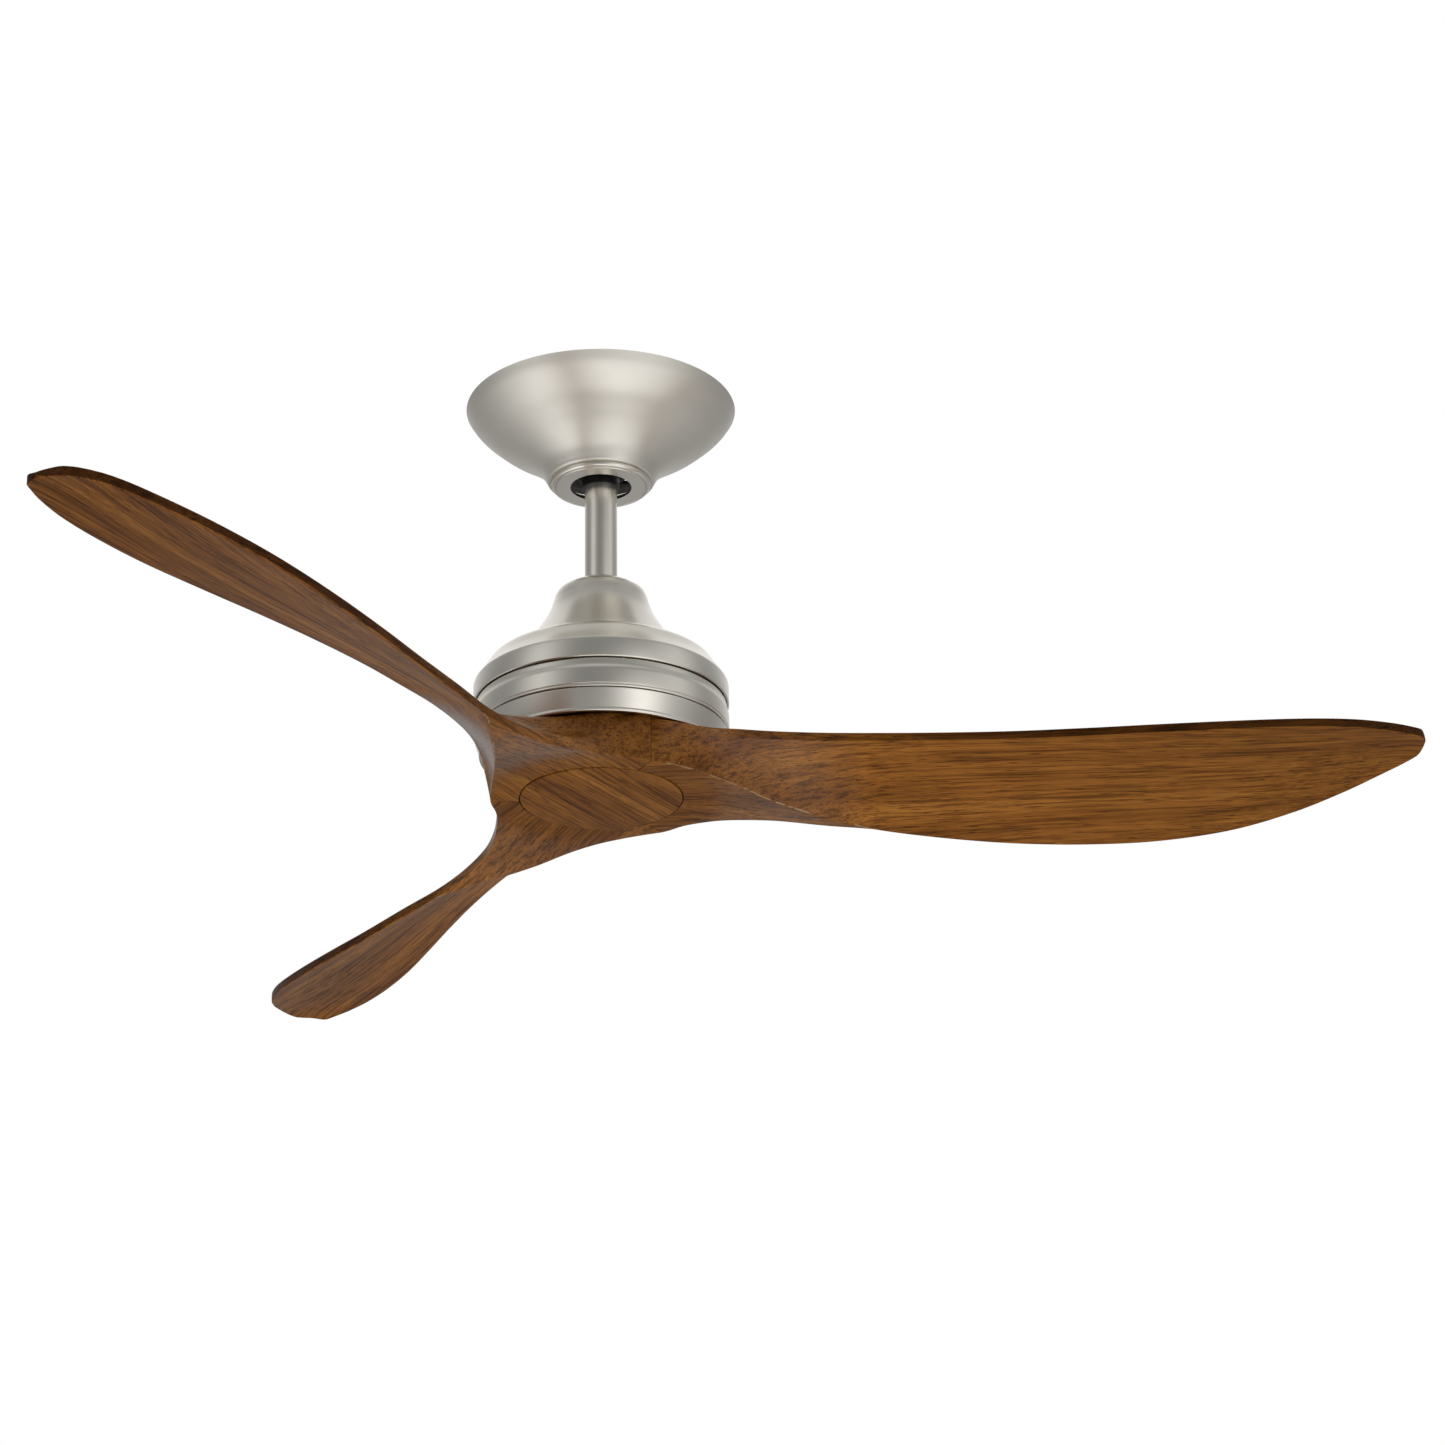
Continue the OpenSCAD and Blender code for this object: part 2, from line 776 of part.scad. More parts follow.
// Blade stations, heights measured from the underside of the hub. Each row is
// x, then (y, z) of the leading edge's top and bottom, the arris under the root,
// the trailing edge's bottom and top, and the crest of the hollow above the trailing edge.
wedge = tan(60);
hub_top = 40;
function seam_row(x, low) = let (y = wedge * x - seam)
    [x, -y, hub_top, -y, low + 1, 0.5 - y, low, y, low, y, hub_top, 0.8 * y, hub_top];
root_rows = [
    seam_row(10, 0),
    seam_row(45, 0.5),
    [51, -78, 36.6, -74, 2.5, -73, 1, 73.8, 0.5, 75, 40, 70, 40],
    [62, -75.5, 35.2, -68.4, 8, -65, 1.5, 65.4, 0.5, 66.4, 34, 63, 40],
    [76, -67.5, 35.2, -61.5, 17, -54, 1.5, 57, -0.5, 57.5, 20, 53, 39.5],
    [92, -58.5, 35.8, -56, 24, -41, 0.5, 50.5, -1.5, 50.8, 10.5, 27, 36],
    [112, -51, 37.2, -50.5, 28.5, -26, -2.5, 44, -4, 44.4, 5.5, 10, 32.5],
    [140, -44.5, 37.2, -44.5, 29.8, -6, -9, 39.2, -7.5, 39.6, 1, 2, 26],
    [180, -38.5, 37.2, -38.5, 29.4, 20, -13.5, 40, -12.5, 40.3, -4.5, 2, 19]
];
// x, leading edge (y, z), trailing edge (y, z), both at the blade's underside
plan_rows = [
    [220, -36.5, 28.8, 44.5, -15.5],
    [270, -35, 28.2, 56, -19.3],
    [330, -36.5, 27, 66.5, -22],
    [390, -41, 26, 74.5, -21.8],
    [450, -47, 25, 78, -19.2],
    [510, -52, 24, 74, -13],
    [560, -53, 23.7, 61, -4],
    [600, -50, 23.2, 43.5, 5.5],
    [630, -43, 22.2, 26, 13.5],
    [648, -36, 21.2, 11, 17.2],
    [657, -31, 20.3, -2, 18.6],
    [sweep_r, -26, 19.7, -14, 19.3]
];
function plate_row(r) = [
    r[0], r[1], r[2] + blade_t, r[1], r[2], r[3] - 1.2, r[4], r[3], r[4] + 0.4, r[3], r[4] + blade_t,
    (r[1] + r[3]) / 2, (r[2] + r[4]) / 2 + blade_t + 0.5
];
blade_rows = concat(root_rows, [for (r = plan_rows) plate_row(r)]);

// a row between stations: straight up to the seams' ends, smooth beyond them
function blade_row(i, t) = let (x = column(blade_rows, 0))
    [for (k = [0 : 12]) let (p = column(blade_rows, k))
        k == 0 || i < 2 ? p[i] + (p[i + 1] - p[i]) * t : hermite(x, p, i, t)];

function mix(a, b, t) = a + (b - a) * t;

// points along a side of the section, bowed by a share of its length
function side(a, b, n, bow) = let (d = b - a)
    [for (s = [0 : n - 1]) let (t = s / n)
        mix(a, b, t) + 4 * t * (1 - t) * bow * [d[1], -d[0]]];

function section(r) =
    let (top_le = [r[1], r[2]], low_le = [r[3], r[4]], arris = [r[5], r[6]],
         low_te = [r[7], r[8]], top_te = [r[9], r[10]], crest = [r[11], r[12]],
         root = r[0] > 52 ? max(0, min(1, (210 - r[0]) / 150)) : 0)
    [for (p = concat(
        side(top_le, low_le, 2, 0),
        side(low_le, arris, 6, -0.03 - 0.05 * root),
        side(arris, low_te, 2, 0),
        side(low_te, top_te, 2, 0),
        side(top_te, crest, 3, -0.14 * root),
        side(crest, top_le, 3, -0.03)))
        [r[0], p[0], p[1] + hub_z]];

module blade_body() {
    steps = 2;
    skin(concat(
        [for (i = [0 : len(blade_rows) - 2]) for (s = [0 : steps - 1]) section(blade_row(i, s / steps))],
        [section(blade_rows[len(blade_rows) - 1])]));
}

module blade(turn) {
    color(wood)
        rotate([0, 0, blade_turn + turn])
            difference() {
                blade_body();
                rod_between(recess_r, hub_z - 2, recess_top);
                rod_between(hub_hole_r, hub_z - 2, plate_bottom + 1);
                rod_between(pocket_r, plate_bottom, hub_z + hub_top + 1);
                for (a = [-blade_screw_a, blade_screw_a])
                    rotate([0, 0, a])
                        translate([blade_screw_r, 0, 0]) rod_between(2, recess_top - 1, plate_bottom + 1);
            }
}

module blade_a() { blade(-120); }
module blade_b() { blade(0); }
module blade_c() { blade(120); }

hanger_bracket();
canopy();
canopy_screws();
canopy_ring();
receiver();
receiver_lead();
supply_leads();
wire_nuts();
ground_screw();
hanger_ball();
ball_pin();
ball_set_screw();
downrod();
motor_lead();
lead_connector();
coupling_cover();
yoke();
clevis_pin();
cotter_pin();
coupling_set_screws();
housing_upper();
housing_band();
housing_lower();
housing_screws();
housing_nuts();
motor_shaft();
shaft_spacers();
stator_core();
stator_windings();
upper_bearing_inner();
lower_bearing_inner();
shaft_nut();
cap_plate();
cap_carrier();
light_cap();
rotor_cover_top();
rotor_cover_bottom();
rotor_ring();
rotor_magnets();
rotor_screws();
upper_bearing_outer();
lower_bearing_outer();
upper_bearing_balls();
lower_bearing_balls();
blade_plate();
plate_screws();
blade_a();
blade_b();
blade_c();
blade_screws();
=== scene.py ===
"""Looks of the three-blade ceiling fan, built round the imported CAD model.

Shapes are in millimetres in the frame of the CAD model (origin on the ceiling, +Z up) and are turned
into metres when a mesh is made. Materials, the camera and its place are in metres. Blade A points to
the near left, B to the right and C to the far left.
"""

import json
import math

import bpy
import numpy as np
from mathutils import Matrix, Vector


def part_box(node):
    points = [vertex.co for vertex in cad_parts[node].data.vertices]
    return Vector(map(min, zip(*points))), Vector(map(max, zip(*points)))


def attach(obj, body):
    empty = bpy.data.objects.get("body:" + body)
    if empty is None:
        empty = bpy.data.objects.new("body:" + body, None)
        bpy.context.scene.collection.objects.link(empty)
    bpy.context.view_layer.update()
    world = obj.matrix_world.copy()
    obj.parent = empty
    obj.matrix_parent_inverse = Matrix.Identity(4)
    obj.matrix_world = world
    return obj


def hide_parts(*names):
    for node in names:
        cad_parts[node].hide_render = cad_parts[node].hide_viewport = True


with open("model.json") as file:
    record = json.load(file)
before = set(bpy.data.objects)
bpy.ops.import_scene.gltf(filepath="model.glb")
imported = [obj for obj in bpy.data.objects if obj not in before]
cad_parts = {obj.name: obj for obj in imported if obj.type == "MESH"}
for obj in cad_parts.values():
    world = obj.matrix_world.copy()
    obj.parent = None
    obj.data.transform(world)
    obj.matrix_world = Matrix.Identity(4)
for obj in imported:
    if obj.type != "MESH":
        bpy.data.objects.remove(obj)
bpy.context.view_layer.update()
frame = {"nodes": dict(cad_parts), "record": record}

MM = 0.001


def height_of(node, end):
    """Height in millimetres of a CAD node's lowest (0) or highest (1) point."""
    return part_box(node)[end].z / MM


def radius_of(node):
    """Outer radius in millimetres of a round CAD node."""
    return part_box(node)[1].x / MM


# ---------- places taken from the frame ----------

HUB_Z = height_of("light_cap", 0)
CANOPY_R = radius_of("canopy")
RING_R = radius_of("canopy_ring")
RING_FACE_Z = height_of("canopy_ring", 0)
ROD_R = radius_of("downrod")
ROD_TOP = height_of("downrod", 1)
ROD_BOTTOM = height_of("downrod", 0)
BELL_TOP = height_of("coupling_cover", 1)
HOUSING_TOP = height_of("housing_upper", 1)
BAND_R = radius_of("housing_band")
CAP_R = radius_of("light_cap")
CAP_TOP = height_of("light_cap", 1)
PLATE_BOTTOM = height_of("blade_plate", 0)

# ---------- sizes shared with the CAD source ----------

COLLAR_Z = -63
COLLAR_R = 45.5
CANOPY_SCREW_R = 34.5
ROD_HOLE_R = 25.3
ROD_BORE = 10.5
BELL_BORE = 14.2
SHAFT_BORE = 8
HOUSING_SCREW_R = 26
BAND_TOP = HUB_Z + 81
BAND_BOTTOM = HUB_Z + 54
LIP_Z = HUB_Z + 36
LIP_R = 99

BLADE_TURN = -4
TIP_X = 660
BLADE_T = 7.8
SEAM = 0.4
HUB_TOP = 40
RECESS_R = CAP_R + 0.8
RECESS_TOP = HUB_Z + 16
HUB_HOLE_R = 24
POCKET_R = 86.6
BLADE_SCREW_R = 50
BLADE_SCREW_TURN = 22


# ---------- curves ----------

def on_circle(radius, angle):
    """Point (x, y) at an angle in radians."""
    return radius * math.cos(angle), radius * math.sin(angle)


def slope(x, p, i):
    a, b = max(i - 1, 0), min(i + 1, len(x) - 1)
    return (p[b] - p[a]) / (x[b] - x[a])


def hermite(x, p, i, t):
    """Smooth curve through (x, p), at share t of stretch i."""
    h = x[i + 1] - x[i]
    m0, m1 = slope(x, p, i) * h, slope(x, p, i + 1) * h
    return (
        (2 * t**3 - 3 * t**2 + 1) * p[i]
        + (t**3 - 2 * t**2 + t) * m0
        + (3 * t**2 - 2 * t**3) * p[i + 1]
        + (t**3 - t**2) * m1
    )


def smooth(points, steps):
    """Smooth outline through (radius, height) points whose heights fall."""
    r, z = [p[0] for p in points], [p[1] for p in points]
    curve = []
    for i in range(len(points) - 1):
        for s in range(steps):
            t = s / steps
            curve.append((hermite(z, r, i, t), z[i] + (z[i + 1] - z[i]) * t))
    return curve + [points[-1]]


def round_corner(a, corner, b, t):
    """Point at share t of the curve from a to b that rounds off a corner."""
    return a * (1 - t) ** 2 + corner * 2 * t * (1 - t) + b * t**2


def rounded(points):
    """Closed outline with its (radius, height, fillet) corners rounded; the others stay sharp."""
    steps = 5
    curve = []
    for i, p in enumerate(points):
        if len(p) < 3:
            curve.append(p)
            continue
        corner = Vector(p[:2])
        back = Vector(points[i - 1][:2]) - corner
        ahead = Vector(points[(i + 1) % len(points)][:2]) - corner
        reach = min(p[2], 0.48 * back.length, 0.48 * ahead.length)
        a, b = corner + back.normalized() * reach, corner + ahead.normalized() * reach
        curve += [tuple(round_corner(a, corner, b, s / steps)) for s in range(steps + 1)]
    return curve


def inset(points, t):
    """The same outline with its radii made smaller by t."""
    return [(r - t, z) for r, z in points]


# ---------- meshes ----------

SHARP = 32


def shade(piece, sharp=SHARP):
    """Smooth shading but for edges sharper than so many degrees."""
    piece.data.shade_smooth()
    piece.data.set_sharp_from_angle(angle=math.radians(sharp))


def new_piece(name, points, faces):
    """Mesh object from points in millimetres."""
    mesh = bpy.data.meshes.new(name)
    mesh.from_pydata([[c * MM for c in p] for p in points], [], faces)
    mesh.validate()
    piece = bpy.data.objects.new(name, mesh)
    bpy.context.scene.collection.objects.link(piece)
    shade(piece)
    return piece


def lathe(name, outline, count):
    """Closed outline of (radius, height) points turned about Z; its order makes the faces look outwards."""
    points, rings = [], []
    for r, z in outline:
        if r < 1e-6:
            rings.append([len(points)] * count)
            points.append((0, 0, z))
            continue
        rings.append(list(range(len(points), len(points) + count)))
        points += [(*on_circle(r, 2 * math.pi * k / count), z) for k in range(count)]
    faces = []
    for i, ring in enumerate(rings):
        following = rings[(i + 1) % len(rings)]
        for k in range(count):
            m = (k + 1) % count
            face = list(dict.fromkeys([ring[k], following[k], following[m], ring[m]]))
            if len(face) >= 3:
                faces.append(face)
    return new_piece(name, points, faces)


def loft(name, rings):
    """Skin over rings with the same number of points, closed at both ends."""
    n, m = len(rings[0]), len(rings)
    faces = []
    for i in range(m - 1):
        for j in range(n):
            k = (j + 1) % n
            faces.append([i * n + j, (i + 1) * n + j, (i + 1) * n + k, i * n + k])
    faces.append(list(range(n - 1, -1, -1)))
    faces.append([(m - 1) * n + j for j in range(n)])
    return new_piece(name, [p for ring in rings for p in ring], faces)


def drill(piece, holes, sharp=SHARP):
    """Cuts upright round holes (x, y, radius, low, high, sides) out of a piece."""
    cutters = []
    for x, y, r, low, high, sides in holes:
        ring = [on_circle(r, 2 * math.pi * k / sides) for k in range(sides)]
        points = [(x + px, y + py, z) for z in (low, high) for px, py in ring]
        faces = [[k, (k + 1) % sides, sides + (k + 1) % sides, sides + k] for k in range(sides)]
        faces += [list(range(sides - 1, -1, -1)), list(range(sides, 2 * sides))]
        cutter = new_piece("cutter", points, faces)
        cutters.append(cutter)
        cut = piece.modifiers.new("cut", "BOOLEAN")
        cut.operation = "DIFFERENCE"
        cut.solver = "EXACT"
        cut.object = cutter
    bpy.context.view_layer.update()
    made = bpy.data.meshes.new_from_object(piece.evaluated_get(bpy.context.evaluated_depsgraph_get()))
    piece.modifiers.clear()
    piece.data = made
    shade(piece, sharp)
    for cutter in cutters:
        bpy.data.objects.remove(cutter)


def place(piece, body, node, material, turn=0):
    """Gives a piece its finish and turn, ties it to its body and hides the CAD node it stands for."""
    piece.data.materials.clear()
    piece.data.materials.append(material)
    piece.data.transform(Matrix.Rotation(math.radians(turn), 4, "Z"))
    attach(piece, body)
    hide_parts(node)


# ---------- nodes ----------

class Tree:
    """Short way to add and wire the nodes of a node tree."""

    def __init__(self, tree):
        self.tree = tree

    def add(self, kind, **values):
        made = self.tree.nodes.new(kind)
        for key, value in values.items():
            setattr(made, key, value)
        return made

    def link(self, source, target):
        self.tree.links.new(source, target)

    def feed(self, target, value):
        """Gives an input a plain value or another node's output."""
        if isinstance(value, bpy.types.NodeSocket):
            self.link(value, target)
        else:
            target.default_value = value

    def calc(self, kind, *values):
        made = self.add("ShaderNodeMath", operation=kind)
        for target, value in zip(made.inputs, values):
            self.feed(target, value)
        return made.outputs[0]


class Nodes(Tree):
    """A new material and the nodes before its shader."""

    def __init__(self, name):
        self.material = bpy.data.materials.new(name)
        self.material.use_nodes = True
        super().__init__(self.material.node_tree)
        self.shader = self.tree.nodes["Principled BSDF"]

    def set(self, **values):
        for key, value in values.items():
            self.shader.inputs[key.replace("_", " ")].default_value = value

    def to(self, name, output):
        self.link(output, self.shader.inputs[name])

    def mapped(self, vector, scale, shift=(0, 0, 0)):
        made = self.add("ShaderNodeMapping")
        made.inputs["Scale"].default_value = scale
        made.inputs["Location"].default_value = shift
        self.link(vector, made.inputs["Vector"])
        return made.outputs["Vector"]

    def own_place(self, scale=(1, 1, 1)):
        """The piece's own coordinates in metres, scaled."""
        return self.mapped(self.add("ShaderNodeTexCoord").outputs["Object"], scale)

    def noise(self, vector, scale, detail=3, rough=0.5):
        made = self.add("ShaderNodeTexNoise")
        made.inputs["Scale"].default_value = scale
        made.inputs["Detail"].default_value = detail
        made.inputs["Roughness"].default_value = rough
        self.link(vector, made.inputs["Vector"])
        return made.outputs["Fac"]

    def ramp(self, factor, stops):
        made = self.add("ShaderNodeValToRGB")
        elements = made.color_ramp.elements
        while len(elements) < len(stops):
            elements.new(0.5)
        for element, (at, colour) in zip(elements, stops):
            element.position = at
            element.color = (*colour, 1)
        self.link(factor, made.inputs["Fac"])
        return made.outputs["Color"]

    def span(self, factor, low, high, to_low, to_high):
        """Turns a factor from low to high into a value from to_low to to_high."""
        made = self.add("ShaderNodeMapRange")
        for key, value in (("From Min", low), ("From Max", high), ("To Min", to_low), ("To Max", to_high)):
            made.inputs[key].default_value = value
        self.link(factor, made.inputs["Value"])
        return made.outputs["Result"]

    def mix(self, kind, factor, a, b):
        """Mixes output a with output or colour b."""
        made = self.add("ShaderNodeMix", data_type="RGBA", blend_type=kind)
        self.feed(made.inputs["Factor"], factor)
        self.link(a, made.inputs["A"])
        self.feed(made.inputs["B"], (*b, 1) if isinstance(b, tuple) else b)
        return made.outputs["Result"]

    def bump(self, height, distance, under=None):
        """Relief of a depth in metres, on top of another relief."""
        made = self.add("ShaderNodeBump")
        made.inputs["Distance"].default_value = distance
        self.link(height, made.inputs["Height"])
        if under is not None:
            self.link(under, made.inputs["Normal"])
        return made.outputs["Normal"]


# ---------- metal, paint and plastic ----------

def speckled(name, colour, rough, metallic, spread, grain, depth):
    """Plain finish with slight colour and gloss changes and a fine surface grain.

    Spread is the share by which the colour varies, grain the changes a metre and depth their relief.
    """
    n = Nodes(name)
    own = n.own_place()
    broad = n.noise(own, 18, 4, 0.6)
    fine = n.noise(own, grain, 3, 0.6)
    dark = tuple(c * (1 - spread) for c in colour)
    light = tuple(min(1, c * (1 + spread)) for c in colour)
    n.to("Base Color", n.ramp(broad, [(0.3, dark), (0.7, light)]))
    n.to("Roughness", n.span(fine, 0.25, 0.75, rough - 0.05, rough + 0.05))
    n.to("Normal", n.bump(fine, depth))
    n.set(Metallic=metallic)
    return n.material


def satin_nickel(name, rough):
    """Warm grey satin plate: near even, with a fine grain that softens reflections."""
    n = Nodes(name)
    own = n.own_place()
    broad = n.noise(own, 9, 3, 0.5)
    fine = n.noise(own, 2600, 2, 0.6)
    n.to("Base Color", n.ramp(broad, [(0.35, (0.8, 0.765, 0.695)), (0.65, (0.83, 0.8, 0.73))]))
    n.to("Roughness", n.span(n.noise(own, 40, 4, 0.6), 0.3, 0.7, rough - 0.02, rough + 0.02))
    n.to("Normal", n.bump(fine, 0.000004))
    n.set(Metallic=1.0)
    return n.material


def brushed_zinc():
    """Zinc plate with a faint spangle and fine level brushing."""
    n = Nodes("zinc_plate")
    spangle = n.noise(n.own_place(), 120, 4, 0.7)
    fine = n.noise(n.own_place((1, 1, 30)), 120, 2, 0.5)
    n.to("Base Color", n.ramp(spangle, [(0.3, (0.52, 0.53, 0.55)), (0.7, (0.68, 0.68, 0.66))]))
    n.to("Roughness", n.span(fine, 0.3, 0.7, 0.3, 0.45))
    n.to("Normal", n.bump(fine, 0.00001))
    n.set(Metallic=1.0)
    return n.material


def laminated_steel():
    """Stator and rotor iron: thin sheets stacked along Z."""
    n = Nodes("laminated_steel")
    wave = n.add("ShaderNodeTexWave", wave_type="BANDS", bands_direction="Z")
    wave.inputs["Scale"].default_value = 600
    n.link(n.own_place((0, 0, 1)), wave.inputs["Vector"])
    sheets = wave.outputs["Fac"]
    n.to("Base Color", n.ramp(sheets, [(0.2, (0.1, 0.1, 0.11)), (0.8, (0.26, 0.26, 0.27))]))
    n.to("Normal", n.bump(sheets, 0.00005))
    n.set(Metallic=0.9, Roughness=0.5)
    return n.material


def wound_copper():
    """Lacquered wire laid turn by turn."""
    n = Nodes("wound_copper")
    wave = n.add("ShaderNodeTexWave", wave_type="BANDS", bands_direction="DIAGONAL")
    wave.inputs["Scale"].default_value = 420
    wave.inputs["Distortion"].default_value = 0.6
    n.link(n.own_place(), wave.inputs["Vector"])
    turns = wave.outputs["Fac"]
    n.to("Base Color", n.ramp(turns, [(0.1, (0.16, 0.05, 0.02)), (0.7, (0.72, 0.34, 0.15))]))
    n.to("Normal", n.bump(turns, 0.0002))
    n.set(Metallic=0.85, Roughness=0.3)
    return n.material


# ---------- wood ----------

# Greatest push of the grain in metres, and the weights of the lacquer
GRAIN_BEND = 0.045
ROOT_COAT = 0.5
THIN_COAT = 0.03


def bent_grain(n, own, shift):
    """Place on the wood, pushed sideways by a slow noise so that lines along X bend a little."""
    bend = n.calc("SUBTRACT", n.noise(n.mapped(own, (1.6, 5, 5), shift), 1.0, 2, 0.5), 0.5)
    push = n.add("ShaderNodeCombineXYZ")
    for axis in ("Y", "Z"):
        n.link(bend, push.inputs[axis])
    scaled = n.add("ShaderNodeVectorMath", operation="SCALE")
    scaled.inputs["Scale"].default_value = GRAIN_BEND
    n.link(push.outputs[0], scaled.inputs[0])
    bent = n.add("ShaderNodeVectorMath", operation="ADD")
    n.link(n.mapped(own, (1, 1, 1), shift), bent.inputs[0])
    n.link(scaled.outputs[0], bent.inputs[1])
    return bent.outputs[0]


def grain_noise(n, grain, along, across, detail, rough):
    """Noise drawn out along the grain: so many changes per metre along and across it."""
    made = n.add("ShaderNodeVectorMath", operation="MULTIPLY")
    made.inputs[1].default_value = (along, across, across)
    n.link(grain, made.inputs[0])
    return n.noise(made.outputs[0], 1.0, detail, rough)


def walnut(name, shift, turn=0, part="face"):
    """Stained walnut under satin lacquer, its grain level and turned from X by so many degrees.

    Part is "face", "rim" for the painted shade on a blade's steep side faces or "arris" for the worn edge
    under its root.
    """
    n = Nodes(name)
    straight = n.add("ShaderNodeVectorRotate", rotation_type="Z_AXIS", invert=True)
    straight.inputs["Angle"].default_value = math.radians(turn)
    n.link(n.own_place(), straight.inputs["Vector"])
    own = straight.outputs["Vector"]
    grain = bent_grain(n, own, shift)

    # broad bands of colour, then darker streaks, fine fibres, clouds and open pores over them
    tone = n.ramp(grain_noise(n, grain, 1.3, 46, 5, 0.55), [
        (0.28, (0.205, 0.07, 0.009)),
        (0.44, (0.305, 0.11, 0.015)),
        (0.58, (0.39, 0.15, 0.022)),
        (0.76, (0.49, 0.21, 0.04)),
    ])
    streaks = grain_noise(n, grain, 8, 360, 4, 0.6)
    dark_lines = n.ramp(streaks, [(0.36, (0.36, 0.3, 0.26)), (0.54, (1.15, 1.15, 1.15))])
    tone = n.mix("MULTIPLY", 0.75, tone, dark_lines)
    fibres = grain_noise(n, grain, 22, 1500, 3, 0.55)
    fine_lines = n.ramp(fibres, [(0.3, (0.62, 0.58, 0.55)), (0.7, (1.2, 1.2, 1.2))])
    tone = n.mix("MULTIPLY", 0.8, tone, fine_lines)
    figure = n.noise(n.mapped(own, (26, 9, 9), shift), 1.0, 3, 0.6)
    clouds = n.ramp(figure, [(0.35, (0.78, 0.76, 0.74)), (0.65, (1.12, 1.12, 1.12))])
    tone = n.mix("MULTIPLY", 0.35, tone, clouds)
    pores = grain_noise(n, grain, 38, 1150, 2, 0.4)
    holes = n.ramp(pores, [(0.60, (1, 1, 1)), (0.68, (0.25, 0.18, 0.14))])
    tone = n.mix("MULTIPLY", 0.85, tone, holes)

    # darker towards the tips and round the cap
    reach = n.add("ShaderNodeVectorMath", operation="LENGTH")
    n.link(n.own_place((1, 1, 0)), reach.inputs[0])
    outward = reach.outputs["Value"]
    tone = n.mix("MULTIPLY", n.span(outward, 0.3, 0.6, 0, 0.3), tone, (0.3, 0.27, 0.25))
    tone = n.mix("MULTIPLY", n.span(outward, 0.09, 0.15, 0.25, 0), tone, (0.3, 0.3, 0.33))
    # painted shade: the rim copy darkens the steep side faces, more towards the tips
    if part == "rim":
        tone = n.mix("MULTIPLY", n.span(outward, 0.12, 0.36, 0, 1), tone, (0.33, 0.3, 0.28))
    if part == "arris":
        chips = n.ramp(n.noise(n.own_place(), 170, 2), [(0.42, (0, 0, 0)), (0.5, (1, 1, 1))])
        tone = n.mix("MIX", chips, tone, (0.4, 0.25, 0.12))
    n.to("Base Color", tone)
    n.to("Roughness", n.span(streaks, 0.3, 0.7, 0.55, 0.45))
    n.to("Normal", n.bump(holes, 0.00006, n.bump(fibres, 0.00003)))

    # lacquer polished over the root, thin elsewhere
    near = n.span(outward, 0.085, 0.11, THIN_COAT, ROOT_COAT)
    far = n.span(outward, 0.16, 0.22, ROOT_COAT, THIN_COAT)
    n.to("Coat Weight", n.calc("MINIMUM", near, far))
    n.set(Coat_Roughness=0.24, Specular_IOR_Level=0.07)
    return n.material


# ---------- one material for each slot ----------

NICKEL = satin_nickel("satin_nickel", 0.3)
CANOPY_NICKEL = satin_nickel("canopy_nickel", 0.43)
MATERIALS = {
    "nickel": NICKEL,
    "blade_wood": walnut("walnut", (0, 0, 0)),
    "zinc_steel": brushed_zinc(),
    "core_steel": laminated_steel(),
    "copper_wire": wound_copper(),
    "painted_aluminium": speckled("painted_aluminium", (0.016, 0.016, 0.018), 0.5, 0.0, 0.2, 500, 0.00004),
    "black_plastic": speckled("black_plastic", (0.018, 0.018, 0.02), 0.36, 0.0, 0.2, 1400, 0.00001),
    "black_steel": speckled("black_enamel", (0.014, 0.014, 0.016), 0.42, 0.0, 0.2, 800, 0.00002),
    "black_insulation": speckled("black_insulation", (0.03, 0.03, 0.032), 0.5, 0.0, 0.15, 500, 0.00003),
    "white_plastic": speckled("white_plastic", (0.78, 0.77, 0.72), 0.42, 0.0, 0.04, 900, 0.00001),
    "orange_plastic": speckled("orange_plastic", (0.72, 0.25, 0.04), 0.4, 0.0, 0.08, 900, 0.00001),
    "supply_insulation": speckled("supply_insulation", (0.8, 0.78, 0.72), 0.45, 0.0, 0.05, 600, 0.00002),
    "green_screw": speckled("green_lacquer", (0.03, 0.2, 0.07), 0.35, 0.4, 0.12, 600, 0.00002),
}

for subpart in frame["record"]["subparts"]:
    carried = frame["nodes"][subpart["node"]]
    carried.data.materials.clear()
    carried.data.materials.append(MATERIALS[subpart["material_slot"]])


# ---------- canopy and rod ----------

def make_canopy():
    sheet = 1.8
    rim_z = COLLAR_Z - 3
    floor_z = COLLAR_Z - 1.2
    under_z = floor_z - 1.2
    hole_r = 30
    bowl = smooth([
        (CANOPY_R, 0), (107, -8), (99, -16), (89.5, -24), (77.5, -32),
        (66, -40), (56.5, -48), (50, -55), (COLLAR_R - 0.2, COLLAR_Z),
    ], 8)
    bead = rounded([
        bowl[-1], (44.7, rim_z + 1.4, 1), (43.4, rim_z, 1), (42.1, rim_z, 0.4), (42.1, under_z),
        (hole_r, under_z), (hole_r, floor_z),
    ])
    piece = lathe("canopy_bowl", bowl + bead[1:] + list(reversed(inset(bowl, sheet))), 256)
    drill(piece, [
        (0, side * CANOPY_SCREW_R, 2.1, floor_z - 3, floor_z + 2, 32) for side in (-1, 1)
    ])
    place(piece, "mount", "canopy", CANOPY_NICKEL)


